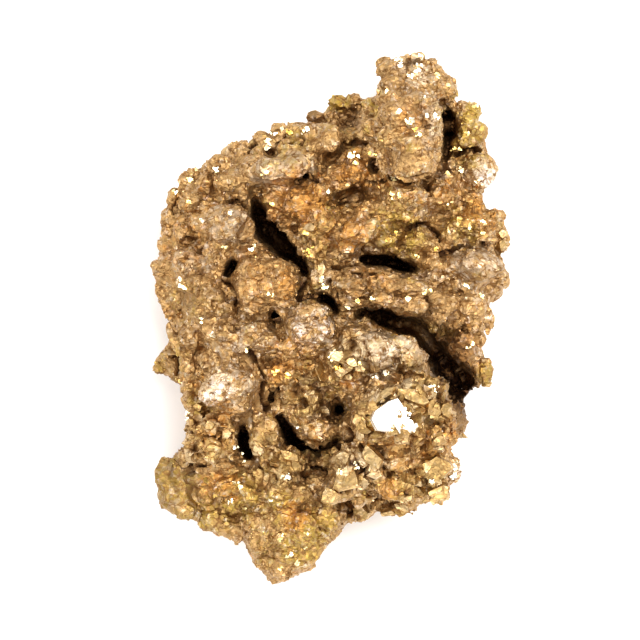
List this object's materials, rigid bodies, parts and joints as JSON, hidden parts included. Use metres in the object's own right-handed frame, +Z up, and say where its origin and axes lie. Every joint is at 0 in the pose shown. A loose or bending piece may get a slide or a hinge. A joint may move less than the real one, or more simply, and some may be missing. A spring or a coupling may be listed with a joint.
{
  "type": "pyrite specimen",
  "caption": "Hand-size cluster of pyrite: rounded brassy nodules and flat-faced crystals grown together, parted by deep clefts, lying on a flat broken underside.",
  "frame": {"origin": "on the surface it lies on, under the middle of its outline", "axes": "+Z up, +Y along its length towards the crown, +X across it towards the lower side column"},
  "size_m": [0.058, 0.085, 0.0335],
  "materials": {
    "pyrite": "satin"
  },
  "bodies": {
    "root": {"pyrite_mass": "pyrite"}
  },
  "joints": []
}
